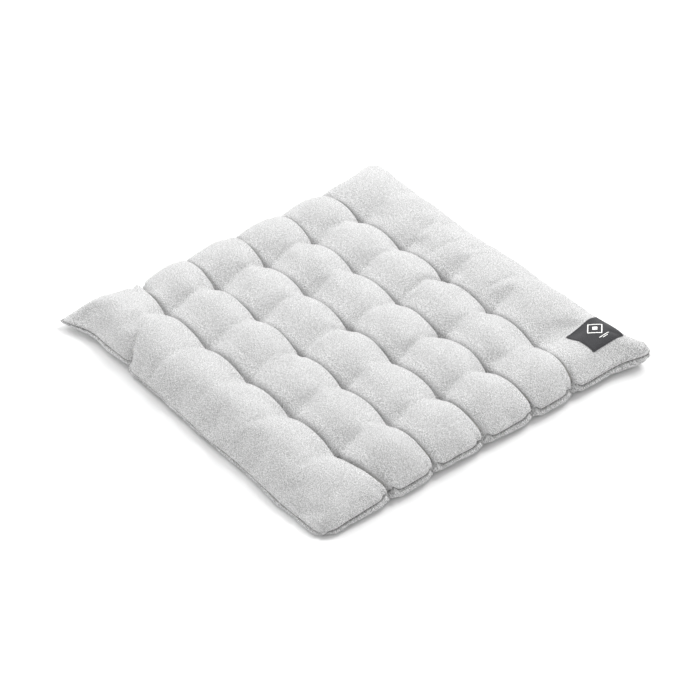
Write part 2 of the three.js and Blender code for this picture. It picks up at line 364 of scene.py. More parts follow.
def in_edit_mode(piece, *steps):
    """Selects all of a mesh in edit mode and runs each step there."""
    select_only(piece)
    bpy.ops.object.mode_set(mode="EDIT")
    bpy.ops.mesh.select_all(action="SELECT")
    for step in steps:
        step()
    bpy.ops.object.mode_set(mode="OBJECT")


def apply_modifier(piece, kind, **settings):
    select_only(piece)
    modifier = piece.modifiers.new(kind.title(), kind)
    for key, value in settings.items():
        setattr(modifier, key, value)
    bpy.ops.object.modifier_apply(modifier=modifier.name)


def apply_place(piece):
    select_only(piece)
    bpy.ops.object.transform_apply(location=True, rotation=True, scale=True)


def put(piece, x, y, size=(1, 1)):
    """Sizes a flat primitive that has just been added, and moves it in plan."""
    bpy.ops.transform.resize(value=(*size, 1))
    bpy.ops.transform.translate(value=(x, y, 0))
    apply_place(piece)


def points_of(mesh):
    points = np.zeros(len(mesh.vertices) * 3)
    mesh.vertices.foreach_get("co", points)
    return points.reshape(-1, 3)


def set_points(mesh, points):
    mesh.vertices.foreach_set("co", np.asarray(points, dtype=np.float32).ravel())
    mesh.update()


def normals_of(mesh):
    normals = np.zeros(len(mesh.vertices) * 3)
    mesh.vertex_normals.foreach_get("vector", normals)
    return normals.reshape(-1, 3)


def hand_over(piece, slot, material, *nodes):
    """Smooths a finished piece, gives it its material, attaches it to the root body and hides the frame nodes
    that it stands for. The slot is not used.
    """
    select_only(piece)
    bpy.ops.object.shade_smooth()
    piece.data.materials.clear()
    piece.data.materials.append(material)
    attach(piece, "root")
    if nodes:
        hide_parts(*nodes)


# ---- Shape of the case


def cloth_lines(ties, half, between, outside, bunching):
    """Grid lines of a panel along one axis, closer together beside the ties and the seam."""
    stops = [-half, *ties, half]
    lines = []
    for k, (low, high) in enumerate(zip(stops, stops[1:])):
        cells = outside if k in (0, len(stops) - 2) else between
        share = np.arange(cells) / cells
        share = share - bunching * np.sin(2 * math.pi * share) / (2 * math.pi)
        lines.extend(low + (high - low) * share)
    return np.array([*lines, half])


def from_nearest(place, ties):
    """Signed distance from the nearest line of ties."""
    gaps = place[..., None] - np.array(ties)
    nearest = np.abs(gaps).argmin(-1)
    return np.take_along_axis(gaps, nearest[..., None], -1)[..., 0]


def bell(distance, width):
    return np.exp(-((distance / width) ** 2))


def beside(place, ties, pitch):
    """0 on a line of ties, and 1 midway between two lines and outside the last."""
    return np.sin(math.pi / 2 * np.minimum(1, np.abs(from_nearest(place, ties)) / (pitch / 2)))


def across_ridge(v, lean):
    """0 on a line of ties and 1 along a crest, which leans towards +Y between two lines of ties."""
    share = np.mod(v + LAST_Y, PITCH_Y) / PITCH_Y
    leaning = np.maximum(0, np.sin(math.pi * share ** (1 + lean)))
    return np.where(np.abs(v) < LAST_Y, leaning, beside(v, TIE_Y, np.where(v > 0, WIDE_FLANK, PITCH_Y)))


def wave(x, y, size, seed):
    """A smooth random field, mostly between -1 and 1, made of a few sine waves."""
    rng = np.random.default_rng(seed)
    field = np.zeros_like(x)
    waves = 7
    for _ in range(waves):
        turn = rng.uniform(0, 2 * math.pi)
        step = 2 * math.pi / (size * rng.uniform(0.8, 1.6))
        field += np.sin(step * (x * math.cos(turn) + y * math.sin(turn)) + rng.uniform(0, 2 * math.pi))
    return field / math.sqrt(waves)


def from_sides(u, v):
    return HALF_X - np.abs(u), HALF_Y - np.abs(v)


def from_seam(u, v):
    return np.minimum(*from_sides(u, v))


def on_rim(u, v):
    return from_seam(u, v) < MM / 10


def ripple(u, v, kind):
    return kind["by"] * wave(u, v, kind["size"], kind["seed"])


def near_edge(place, last, half):
    """0 at the last tie and within, rising to 1 at the seam."""
    return np.clip((np.abs(place) - last) / (half - last), 0, 1)


def from_corner(u, v, sx, sy):
    return np.hypot(u - sx * HALF_X, v - sy * HALF_Y)


def seam_height(u, v):
    least = 1e-6  # keeps the shares defined where neither side is near
    weight_x = near_edge(u, LAST_X, HALF_X) ** 2 + least
    weight_y = near_edge(v, LAST_Y, HALF_Y) ** 2 + least
    on_x = np.where(u < 0, SIDE_LIFT["-x"], SIDE_LIFT["+x"])
    on_y = np.where(v < 0, SIDE_LIFT["-y"], SIDE_LIFT["+y"])
    height = (on_x * weight_x + on_y * weight_y) / (weight_x + weight_y)
    for (sx, sy), corner in CORNERS.items():
        height = height + corner["lift"] * bell(from_corner(u, v, sx, sy), LIFT_SPREAD * corner["reach"])
    return height + ripple(u, v, SEAM_RIPPLE)


def outline(u, v, notch):
    """Where a place of the flat square panel lies in plan, once the pad is sewn, tied and stuffed."""
    x, y = u.copy(), v.copy()
    for (sx, sy), corner in CORNERS.items():
        radius = corner["radius"]
        past_x = sx * u - (HALF_X - radius)
        past_y = sy * v - (HALF_Y - radius)
        inside = (past_x > 0) & (past_y > 0)
        pull = np.maximum(past_x, past_y) / np.maximum(np.hypot(past_x, past_y), TINY)
        x = np.where(inside, sx * (HALF_X - radius + past_x * pull), x)
        y = np.where(inside, sy * (HALF_Y - radius + past_y * pull), y)

    edge_x = near_edge(u, LAST_X, HALF_X)
    edge_y = near_edge(v, LAST_Y, HALF_Y)
    drift = np.sin(math.pi * np.clip((np.abs(v) - TIE_Y[-2]) / (HALF_Y - TIE_Y[-2]), 0, 1))
    y = y - np.sign(v) * ROW_DRIFT * drift * edge_x**2

    row = np.exp(-np.abs(from_nearest(v, TIE_Y)) / NOTCH_WIDTH)
    out_x = np.where(u < 0, SIDE_OUT["-x"], SIDE_OUT["+x"]) - notch * row
    out_y = np.where(v < 0, SIDE_OUT["-y"], SIDE_OUT["+y"]) + ripple(u, v, OUTLINE_RIPPLE)
    for (sx, sy), corner in CORNERS.items():
        near = bell(from_corner(u, v, sx, sy), corner["reach"])
        out_x = out_x + near * corner["out"][0] * (sx * u > 0)
        out_y = out_y + near * corner["out"][1] * (sy * v > 0)
    x = x + np.sign(u) * out_x * edge_x**OUT_FADE
    y = y + np.sign(v) * out_y * edge_y**OUT_FADE
    return x, y


def top_height(u, v, sizes):
    """The top panel: a pillow in each field between four ties, running down to the seam."""
    left_end = near_edge(u, TIE_X[1], HALF_X) * (u < 0)
    across = across_ridge(v, LEAN + LEFT_LEAN * left_end)
    along = beside(u, TIE_X, PITCH_X) ** (SADDLE + CREST_SADDLE * across)
    end_column = bell(np.abs(u) - LAST_X, END_DIP["reach"])
    uneven = 1 + END_DIP["deeper"] * end_column + ripple(u, v, DIP_RIPPLE)
    dip = sizes.dip * uneven * (1 - np.sqrt(near_edge(v, LAST_Y, HALF_Y)))
    end = near_edge(u, LAST_X, HALF_X) ** 0.5
    channel = sizes.channel * (1 + np.where(u < 0, LEFT_CHANNEL, RIGHT_CHANNEL) * end)
    ridge = across ** (FLANK - FULL_FLANK * along)
    puff = ridge * (1 - dip * (1 - along)) + channel * along * (1 - ridge)
    crest = sizes.crest + ripple(u, v, CREST_RIPPLE)
    for dent in DENTS:
        crest -= dent["depth"] * bell(np.hypot(u - dent["at"][0], v - dent["at"][1]), dent["reach"])
    full = sizes.tie_top + (crest - sizes.tie_top) * puff
    seam = seam_height(u, v)
    return seam + (full - seam) * rise_from_seam(u, v, sizes)


def rise_from_seam(u, v, sizes):
    """0 at the seam, rising to 1 where the ridges have their full height."""
    from_x, from_y = from_sides(u, v)
    left = round_over(from_x, sizes.left_slope)
    shorter = 1 - STEEPER["by"] * bell(from_corner(u, v, 1, -1), STEEPER["reach"])
    right = (1 - ROUND_SHARE) * ease_up(from_x, sizes.right_slope * shorter)
    right += ROUND_SHARE * round_over(from_x, ROUND_REACH * sizes.right_slope * shorter)
    front = ease_up(from_y, sizes.front_slope * shorter)
    back = round_over(from_y, sizes.back_slope)
    short_x = 1 - np.where(u < 0, left, right)
    short_y = 1 - np.where(v < 0, front, back)
    blend = EDGE_BLEND
    for (sx, sy), fuller in FULLER.items():
        blend = blend + fuller * bell(from_corner(u, v, sx, sy), FULLER_REACH)
    return np.clip(1 - (short_x**blend + short_y**blend) ** (1 / blend), 0, 1)


def ease_up(distance, reach):
    """A softened quarter of a sine, from 0 at no distance to 1 at the reach."""
    return np.sin(math.pi / 2 * np.clip(distance / reach, 0, 1)) ** SLOPE_EASE


def round_over(distance, reach):
    """A quarter of an ellipse, from 0 at no distance to 1 at the reach."""
    return np.sqrt(1 - (1 - np.clip(distance / reach, 0, 1)) ** 2)


def bottom_height(u, v, sizes):
    """The bottom panel: flat on the floor, drawn up at the ties and rolled up to the seam."""
    lifted = bell(from_nearest(u, TIE_X), TIE_DIMPLE[0]) * bell(from_nearest(v, TIE_Y), TIE_DIMPLE[1])
    seam = seam_height(u, v)
    from_x, from_y = from_sides(u, v)
    reach = ROLL_UNDER["share"] * seam + ROLL_UNDER["least"]
    fall = round_over(from_x, reach) * round_over(from_y, reach)
    return seam * (1 - fall) + sizes.tie_bottom * lifted + FLOOR_GAP


def notch_folds():
    """The pleats beside each channel, where it meets the +X and -X seams."""
    folds = []
    for k, row in enumerate(TIE_Y):
        turn = (-1) ** k * NOTCH_TURN
        for fold in NOTCH_FOLDS:
            for side in (1, -1):
                start = (side * HALF_X, row + fold["gap"])
                end = (side * (HALF_X - fold["run"] - 3 * turn), row + 1.5 * fold["gap"] + turn)
                folds.append({**fold, "from": start, "to": end, "depth": fold["depth"] + turn})
    return folds


def fold_depth(u, v):
    """How far the folds along the channels and the listed ones press the cloth in."""
    end = np.sqrt(near_edge(u, LAST_X, HALF_X))
    from_x, from_y = from_nearest(u, TIE_X), from_nearest(v, TIE_Y)
    deep, wide = (inner * (1 - end) + outer * end for inner, outer in CHANNEL_FOLD.values())
    depth = deep * np.exp(-np.abs(from_y) / wide)
    tie_turn = PUCKER["turn"][0] * (u - from_x) + PUCKER["turn"][1] * (v - from_y)
    fan = 0.5 + 0.5 * np.cos(PUCKER["folds"] * np.arctan2(from_y, from_x) + tie_turn)
    depth += PUCKER["depth"] * fan * np.exp(-np.hypot(from_x, from_y) / PUCKER["reach"])
    for fold in FOLDS + notch_folds():
        start, end = np.array(fold["from"]), np.array(fold["to"])
        run = end - start
        share = np.clip(((u - start[0]) * run[0] + (v - start[1]) * run[1]) / (run @ run), 0, 1)
        gap = np.hypot(u - start[0] - share * run[0], v - start[1] - share * run[1])
        depth += fold["depth"] * (1 - FOLD_FADE * share) * np.exp(-gap / fold["width"])
    return depth


def flat_case():
    """Two square panels joined at their rims, with the flat cloth's own measures as their UV map."""
    across_x = cloth_lines(TIE_X, HALF_X, **GRID_X)
    across_y = cloth_lines(TIE_Y, HALF_Y, **GRID_Y)
    cells_x, cells_y = len(across_x) - 1, len(across_y) - 1
    panels = []
    for side in (1, -1):
        bpy.ops.mesh.primitive_grid_add(x_subdivisions=cells_x, y_subdivisions=cells_y, size=1)
        panel = added("panel")
        points = points_of(panel.data)
        i = np.rint((points[:, 0] + 0.5) * cells_x).astype(int)
        j = np.rint((points[:, 1] + 0.5) * cells_y).astype(int)
        rim = (i == 0) | (j == 0) | (i == cells_x) | (j == cells_y)
        flat = np.stack([across_x[i], across_y[j], np.where(rim, 0, side * MM)], axis=1)
        set_points(panel.data, flat)
        if side < 0:
            in_edit_mode(panel, bpy.ops.mesh.flip_normals)
        keep_flat_measures(panel.data, flat)
        for name in ("top", "bottom"):
            panel.data.materials.append(bpy.data.materials.get(name) or bpy.data.materials.new(name))
        panel.data.polygons.foreach_set("material_index", [int(side < 0)] * len(panel.data.polygons))
        panels.append(panel)
    case = join(panels, "case")
    in_edit_mode(case, partial(bpy.ops.mesh.remove_doubles, threshold=MM / 100))
    return case


def corner_vertices(mesh):
    corners = np.zeros(len(mesh.loops), dtype=np.int32)
    mesh.loops.foreach_get("vertex_index", corners)
    return corners


def keep_flat_measures(mesh, flat):
    """Writes each corner's place on the flat cloth, in metres, as the UV map that the weave follows."""
    layer = mesh.uv_layers[0]
    layer.name = "Cloth"
    layer.uv.foreach_set("vector", flat[corner_vertices(mesh), :2].astype(np.float32).ravel())


def flat_places(mesh):
    """Each vertex's place on the flat cloth, read back from the UV map."""
    values = np.zeros(len(mesh.loops) * 2, dtype=np.float32)
    mesh.uv_layers["Cloth"].uv.foreach_get("vector", values)
    places = np.zeros((len(mesh.vertices), 2))
    places[corner_vertices(mesh)] = values.reshape(-1, 2)
    return places[:, 0], places[:, 1]


def lower_side(mesh):
    """Which vertices belong to the bottom panel only."""
    top = np.zeros(len(mesh.vertices), dtype=bool)
    for face in mesh.polygons:
        if face.material_index == 0:
            top[list(face.vertices)] = True
    return ~top


def settle(case, sizes, u, v):
    """Lets the cloth settle over the stuffing: a cloth simulation whose result becomes the mesh."""
    select_only(case)
    start = points_of(case.data)
    case.shape_key_add(name="Basis")
    spare = case.shape_key_add(name="Spare cloth")
    cut = start * np.array([1, 1 + sizes.slack_across, 1])
    spare.data.foreach_set("co", cut.astype(np.float32).ravel())
    spare.value = 0
    held = case.vertex_groups.new(name="Held by thread")
    tied = np.abs(from_nearest(u, TIE_X)) + np.abs(from_nearest(v, TIE_Y)) < MM / 10
    held.add(np.flatnonzero(tied | on_rim(u, v)).tolist(), 1.0, "REPLACE")

    modifier = case.modifiers.new("Cloth", "CLOTH")
    cloth = modifier.settings
    for key, value in FABRIC.items():
        setattr(cloth, key, value)
    cloth.uniform_pressure_force = sizes.pressure
    cloth.effector_weights.gravity = 0
    cloth.vertex_group_mass = held.name
    cloth.shrink_min = -sizes.slack_all
    cloth.rest_shape_key = spare
    modifier.collision_settings.distance_min = CONTACT
    modifier.collision_settings.use_self_collision = False
    modifier.point_cache.frame_start = 1
    modifier.point_cache.frame_end = sizes.frames

    bpy.ops.mesh.primitive_plane_add(size=1)
    table = added("table")
    table.modifiers.new("Collision", "COLLISION")
    table.collision.thickness_outer = CONTACT
    table.collision.cloth_friction = TABLE_FRICTION

    scene = bpy.context.scene
    for step in range(1, sizes.frames + 1):
        scene.frame_set(step)
    settled = points_of(case.evaluated_get(bpy.context.evaluated_depsgraph_get()).data)
    scene.frame_set(1)
    bpy.data.objects.remove(table)
    case.modifiers.remove(modifier)
    case.shape_key_clear()
    case.vertex_groups.clear()
    set_points(case.data, settled)


def outwards(u, v):
    """Directions out of the pad in plan, turning round the corners and 0 away from the seam."""
    out = np.zeros((len(u), 3))
    out[:, 0] = np.sign(u) * near_edge(u, HALF_X - CORNER_TURN, HALF_X)
    out[:, 1] = np.sign(v) * near_edge(v, HALF_Y - CORNER_TURN, HALF_Y)
    return out / np.maximum(np.linalg.norm(out, axis=1, keepdims=True), TINY)


def step_the_seam(piece):
    """Tucks and lifts the -Y seam to the left of the pleat in it."""
    mesh = piece.data
    u, v = flat_places(mesh)
    left = 0.5 * (1 - np.tanh((u - PLEAT["at"]) / PLEAT["width"])) * np.exp(-(HALF_Y + v) / PLEAT["reach"])
    points = points_of(mesh)
    points[:, 1] += PLEAT["in"] * left
    points[:, 2] += PLEAT["lift"] * left
    set_points(mesh, points)


def roll_the_seam(case, sizes):
    """Draws the seam in to a groove, rolls the bottom panel out beyond it, and shapes its notches."""
    mesh = case.data
    u, v = flat_places(mesh)
    inset = from_seam(u, v)
    below = lower_side(mesh)
    points = points_of(mesh)
    drawn_in = sizes.groove * bell(inset, GROOVE_WIDTH)
    top_bead = TOP_BEAD["height"] * bell(inset - TOP_BEAD["at"], TOP_BEAD["width"])
    from_row = from_nearest(v, TIE_Y)
    from_tip = from_corner(u, v, 1, 1)
    ends = near_edge(u, LAST_X, HALF_X) ** 2
    tucked = NOTCH_TUCK * ends * bell(from_row, LIP["width"])
    tucked += KNOB_TUCK["share"] * bell(from_tip, KNOB_TUCK["reach"])
    bottom_bead = sizes.bead * bell(inset - BOTTOM_BEAD["at"], BOTTOM_BEAD["width"])
    bottom_bead *= 1 - np.minimum(1, tucked)
    lip = bell(np.abs(from_row) - LIP["at"], LIP["width"]) - LIP["drop"] * bell(from_row, LIP["width"])
    points[:, 2] += LIP["height"] * lip * ends * bell(inset, LIP["reach"])
    points += outwards(u, v) * (np.where(below, bottom_bead, top_bead) - drawn_in)[:, None]
    points[:, 2] += np.where(below, 0, top_bead)
    knob = KNOB["height"] * bell(from_tip - KNOB["at"], KNOB["width"])
    points[:, 2] += knob * np.clip(inset / KNOB["edge"], 0, 1) * ~below
    points[:, 2] = np.maximum(points[:, 2], LEAST_HEIGHT)
    set_points(mesh, points)


def press_folds(piece):
    """Presses the folds into the top cloth, and closes it over the channels."""
    mesh = piece.data
    u, v = flat_places(mesh)
    upper = ~lower_side(mesh)
    points = points_of(mesh) - normals_of(mesh) * (fold_depth(u, v) * upper)[:, None]
    from_row = from_nearest(v, TIE_Y)
    inside = np.clip((HALF_X - np.abs(u)) / OVERHANG["fade"], 0, 1)
    bulge = bell(np.abs(from_row) - OVERHANG["at"], OVERHANG["width"])
    by = OVERHANG["by"] * (1 + OVERHANG["more"] * near_edge(u, LAST_X, HALF_X))
    points[:, 1] -= np.sign(from_row) * by * bulge * inside * upper
    set_points(mesh, points)


# ---- Materials


class Nodes:
    """A short way to write a material's node tree."""

    def __init__(self, name):
        self.material = bpy.data.materials.new(name)
        self.material.use_nodes = True
        self.tree = self.material.node_tree
        self.shader = self.tree.nodes["Principled BSDF"]

    def add(self, kind, inputs=None, **settings):
        node = self.tree.nodes.new("ShaderNode" + kind)
        for key, value in settings.items():
            setattr(node, key, value)
        for key, value in (inputs or {}).items():
            self.set(node.inputs[key], value)
        return node

    def set(self, socket, value):
        if isinstance(value, bpy.types.NodeSocket):
            self.tree.links.new(value, socket)
        else:
            socket.default_value = value

    def object_place(self):
        return self.add("TexCoord").outputs["Object"]

    def finish(self, **inputs):
        for key, value in inputs.items():
            self.set(self.shader.inputs[key.replace("_", " ")], value)
        return self.material

    def noise(self, vector, scale, detail=2.0, roughness=0.6):
        inputs = {"Vector": vector, "Scale": scale, "Detail": detail, "Roughness": roughness}
        return self.add("TexNoise", inputs).outputs["Fac"]

    def bands(self, vector, scale, distortion, direction):
        inputs = {"Vector": vector, "Scale": scale, "Distortion": distortion}
        return self.add("TexWave", inputs, bands_direction=direction).outputs["Fac"]

    def stretched(self, vector, x, y):
        return self.add("Mapping", {"Vector": vector, "Scale": (x, y, 1)}).outputs["Vector"]

    def math(self, operation, a, b=0.0):
        return self.add("Math", {0: a, 1: b}, operation=operation).outputs[0]

    def blend(self, a, b, share):
        """A share of a and the rest of b."""
        return self.math("ADD", self.math("MULTIPLY", a, share), self.math("MULTIPLY", b, 1 - share))

    def swing(self, value, by):
        """A value round a half, turned into one round 0."""
        return self.math("MULTIPLY", self.math("SUBTRACT", value, 0.5), by)

    def ramp(self, fac, stops):
        node = self.add("ValToRGB", {"Fac": fac})
        elements = node.color_ramp.elements
        for k, (place, tint) in enumerate(stops):
            element = elements[k] if k < 2 else elements.new(place)
            element.position = place
            element.color = (*tint, 1)
        return node.outputs["Color"]

    def bump(self, height, distance, strength=1.0):
        inputs = {"Height": height, "Distance": distance, "Strength": strength}
        return self.add("Bump", inputs).outputs["Normal"]

    def weave(self, place, pitch):
        """Height of a plain weave: warp and weft in turn on top."""
        split = self.add("SeparateXYZ", {"Vector": place})
        step = 2 * math.pi / pitch
        x = self.math("SINE", self.math("MULTIPLY", split.outputs["X"], step))
        y = self.math("SINE", self.math("MULTIPLY", split.outputs["Y"], step))
        return self.math("MULTIPLY", x, y)


def melange(name, colours):
    """Heather-grey cloth: pale and dark fibres spun together, a fine weave and a light fuzz."""
    n = Nodes(name)
    place = n.stretched(n.add("UVMap", uv_map="Cloth").outputs["UV"], 1, TAKE_UP)
    specks = n.blend(n.noise(place, 1350, detail=0.0), n.noise(place, 2700, detail=0.0), 0.45)
    weft = n.noise(n.stretched(place, 600, 2200), 1.0, detail=0.0)
    warp = n.noise(n.stretched(place, 2200, 600), 1.0, detail=0.0)
    mixed = n.blend(specks, n.blend(weft, warp, 0.5), 0.6)
    tufts = n.swing(n.noise(place, 330, detail=1.0), 0.10)
    clouds = n.swing(n.noise(place, 45, detail=3.0), 0.06)
    tone = n.math("ADD", n.math("ADD", mixed, clouds), tufts)
    tint = n.ramp(tone, [(0.425, colours.cloth_dark), (0.575, colours.cloth_pale)])
    height = n.math("ADD", n.math("MULTIPLY", n.weave(place, YARN_PITCH), 0.35), specks)
    return n.finish(
        Base_Color=tint,
        Roughness=0.92,
        Specular_IOR_Level=0.18,
        Sheen_Weight=0.25,
        Sheen_Roughness=0.6,
        Normal=n.bump(height, 0.2 * MM, 0.6),
    )


def spun_thread(name, tint):
    """Sewing thread: plies that wind round it, with a soft sheen."""
    n = Nodes(name)
    place = n.object_place()
    tone = n.blend(n.bands(place, 900, 2.0, "DIAGONAL"), n.noise(place, 2500), 0.5)
    dark = tuple(0.55 * part for part in tint)
    return n.finish(
        Base_Color=n.ramp(tone, [(0.25, dark), (0.75, tint)]),
        Roughness=0.7,
        Specular_IOR_Level=0.3,
        Sheen_Weight=0.2,
        Normal=n.bump(tone, 0.1 * MM, 0.6),
    )


def fibre(name, tint):
    """Loose fibre filling."""
    n = Nodes(name)
    place = n.object_place()
    strands = n.noise(n.stretched(place, 300, 80), 1.0, detail=6.0, roughness=0.7)
    dark = tuple(0.8 * part for part in tint)
    return n.finish(
        Base_Color=n.ramp(strands, [(0.3, dark), (0.7, tint)]),
        Roughness=1.0,
        Specular_IOR_Level=0.1,
        Normal=n.bump(strands, 1.5 * MM, 0.8),
    )


def label_weave(name, tint):
    """The label's dense satin ground, with fine ribs along the weft."""
    n = Nodes(name)
    place = n.object_place()
    tone = n.blend(n.bands(place, 450, 0.4, "X"), n.noise(place, 1400, detail=3.0), 0.35)
    pale = tuple(2.8 * part + 0.014 for part in tint)
    return n.finish(
        Base_Color=n.ramp(tone, [(0.3, tint), (0.75, pale)]),
        Roughness=0.78,
        Specular_IOR_Level=0.3,
        Sheen_Weight=0.15,
        Normal=n.bump(tone, 0.15 * MM, 0.7),
    )


def floor_finish(name, tint):
    """Smooth pale studio floor with a faint grain."""
    n = Nodes(name)
    place = n.object_place()
    grain = n.noise(place, 60, detail=2.0)
    pale = tuple(min(1, 1.01 * part) for part in tint)
    return n.finish(
        Base_Color=n.ramp(grain, [(0.3, tint), (0.7, pale)]),
        Roughness=0.9,
        Specular_IOR_Level=0.05,
    )


# ---- Operators


def top_surface_height(x, y):
    """Height of the top panel at a place seen from above."""
    panel = bpy.data.objects["top_panel"]
    hit, place, _, _ = panel.ray_cast(Vector((x, y, 1.0)), Vector((0, 0, -1)))
    if not hit:
        raise RuntimeError(f"the top panel has no cloth at {x:.3f}, {y:.3f}")
    return place.z


class SEATPAD_OT_case(Operator):
    """Makes the two cloth panels and the wadding inside them."""

    bl_idname = "seatpad.case"
    bl_label = "Panels and wadding"

    def execute(self, context):
        sizes = context.scene.seat_pad_case
        colours = context.scene.seat_pad_colours
        case = flat_case()
        mesh = case.data
        u, v = flat_places(mesh)
        below = lower_side(mesh)
        x, y = outline(u, v, sizes.notch)
        z = np.where(below, bottom_height(u, v, sizes), top_height(u, v, sizes))
        set_points(mesh, np.stack([x, y, z], axis=1))
        settle(case, sizes, u, v)

        wadding = duplicate(case, "wadding")
        drawn_in = WADDING_DRAWN_IN["by"] * bell(from_seam(u, v), WADDING_DRAWN_IN["reach"])
        inwards = normals_of(wadding.data) * WADDING_INSIDE * sizes.cloth + outwards(u, v) * drawn_in[:, None]
        set_points(wadding.data, points_of(wadding.data) - inwards)
        press_folds(wadding)
        step_the_seam(wadding)
        hand_over(wadding, "wadding", fibre("Fibre filling", colours.wadding), "wadding_core")

        apply_modifier(case, "SUBSURF", levels=1, render_levels=1)
        press_folds(case)
        step_the_seam(case)
        roll_the_seam(case, sizes)
        in_edit_mode(case, partial(bpy.ops.mesh.separate, type="MATERIAL"))
        for panel in [piece for piece in context.scene.objects if piece.name.startswith("case")]:
            top = panel.data.materials[0].name == "top"
            panel.name = panel.data.name = "top_panel" if top else "bottom_panel"
            apply_modifier(panel, "SOLIDIFY", thickness=sizes.cloth, offset=-1, use_even_offset=False)
            node = "top_cover" if top else "bottom_cover"
            cloth = bpy.data.materials.get("Melange cloth") or melange("Melange cloth", colours)
            hand_over(panel, "cover_fabric", cloth, node)
        return {"FINISHED"}


def rim_path():
    """The seam's line: points along the rim of the top panel, in order from the middle of the -X side."""
    mesh = bpy.data.objects["top_panel"].data
    u, v = flat_places(mesh)
    points = points_of(mesh)
    rim = on_rim(u, v)
    rim[len(rim) // 2 :] = False  # the second half is the cloth's inner face
    turn = np.arctan2(v[rim] / HALF_Y, u[rim] / HALF_X)
    order = np.argsort(turn)
    path = points[rim][order]
    apart = np.linalg.norm(np.diff(path, axis=0, append=path[:1]), axis=1) > LEAST_STEP
    return path[apart]


def thread_along(name, path, stitch, pitch, thickness, cyclic=False):
    """A row of stitches: one stitch, repeated by an array and bent along a curve."""
    line = bpy.data.curves.new(name + "_line", "CURVE")
    line.dimensions = "3D"
    line.twist_mode = "Z_UP"
    spline = line.splines.new("POLY")
    spline.points.add(len(path) - 1)
    spline.points.foreach_set("co", np.column_stack([path, np.ones(len(path))]).ravel())
    spline.use_cyclic_u = cyclic
    guide = bpy.data.objects.new(name + "_line", line)
    bpy.context.scene.collection.objects.link(guide)
    steps = np.linalg.norm(np.diff(path, axis=0), axis=1)

    bpy.ops.mesh.primitive_uv_sphere_add(segments=6, ring_count=6, radius=0.5)
    piece = added(name)
    bpy.ops.transform.rotate(value=math.pi / 2, orient_axis="Y", center_override=(0, 0, 0))
    bpy.ops.transform.resize(value=(stitch, thickness, thickness))
    apply_place(piece)
    points = points_of(piece.data)
    points[:, 0] += stitch / 2
    points[:, 2] += STITCH_ARCH * thickness * np.cos(math.pi * (points[:, 0] / stitch - 0.5))
    set_points(piece.data, points)
    apply_modifier(
        piece,
        "ARRAY",
        count=int(steps.sum() / pitch),
        use_relative_offset=False,
        use_constant_offset=True,
        constant_offset_displace=(pitch, 0, 0),
    )
    apply_modifier(piece, "CURVE", object=guide, deform_axis="POS_X")
    bpy.data.objects.remove(guide)
    return piece


class SEATPAD_OT_seam(Operator):
    """Sews the edge seam and shuts the opening that the wadding went in through."""

    bl_idname = "seatpad.seam"
    bl_label = "Edge seam and closing stitches"

    def execute(self, context):
        threads = context.scene.seat_pad_threads
        tint = context.scene.seat_pad_colours.thread
        path = rim_path()
        opening = (path[:, 0] < 0) & (path[:, 1] > CLOSING_LOW.y) & (path[:, 1] < CLOSING_HIGH.y)
        sewn = path[~opening]
        closed = path[opening]
        closed = closed[np.argsort(closed[:, 1])]
        thread = spun_thread("Sewing thread", tint)
        machine = {key: getattr(threads, key) for key in CLOSING}
        by_hand = {key: more * machine[key] for key, more in CLOSING.items()}
        seam = thread_along("edge_seam_thread_stitches", sewn, **machine)
        hand_over(seam, "sewing_thread", thread, "edge_seam_thread")
        closing = thread_along("closing_stitches", closed, **by_hand)
        hand_over(closing, "sewing_thread", thread, "closing_thread")
        return {"FINISHED"}


class SEATPAD_OT_ties(Operator):
    """Ties the two panels together at every tuft."""

    bl_idname = "seatpad.ties"
    bl_label = "Tuft ties"

    def execute(self, context):
        sizes = context.scene.seat_pad_case
        thickness = context.scene.seat_pad_threads.tie_thickness
        thread = bpy.data.materials["Sewing thread"]
        pattern = self.tie(sizes, thickness)
        for name in TIES:
            middle = tie_middle(name)
            tie = duplicate(pattern, name.replace("tuft_tie", "tie"))
            points = points_of(tie.data) + np.array([middle.x, middle.y, 0])
            set_points(tie.data, points)
            hand_over(tie, "sewing_thread", thread, name)
        bpy.data.objects.remove(pattern)
        return {"FINISHED"}

    def ring(self, name, radius, thickness, height, turn=(0, 0, 0), steps=16):
        bpy.ops.mesh.primitive_torus_add(
            major_segments=steps,
            minor_segments=8,
            major_radius=radius,
            minor_radius=thickness / 2,
            rotation=turn,
            location=(0, 0, height),
        )
        ring = added(name)
        apply_place(ring)
        return ring

    def tie(self, sizes, thickness):
        """One tie at the origin: a loop over the top panel, its strand, and a knot underneath."""
        top, bottom = sizes.tie_top, sizes.tie_bottom
        upright = (math.pi / 2, 0, 0)
        loop = self.ring("loop", 1.5 * MM, thickness, top - 0.4 * MM, turn=upright, steps=20)
        bpy.ops.mesh.primitive_cylinder_add(
            vertices=10, radius=0.6 * thickness, depth=top - bottom, location=(0, 0, (top + bottom) / 2)
        )
        strand = added("strand")
        apply_place(strand)
        knot = self.ring("knot", 0.9 * MM, 1.1 * thickness, bottom - 0.9 * MM)
        knot_turn = self.ring("knot_turn", 0.7 * MM, thickness, bottom - 1.3 * MM, turn=(1.1, 0.3, 0))
        tie = join([loop, strand, knot, knot_turn], "tie")
        return tie


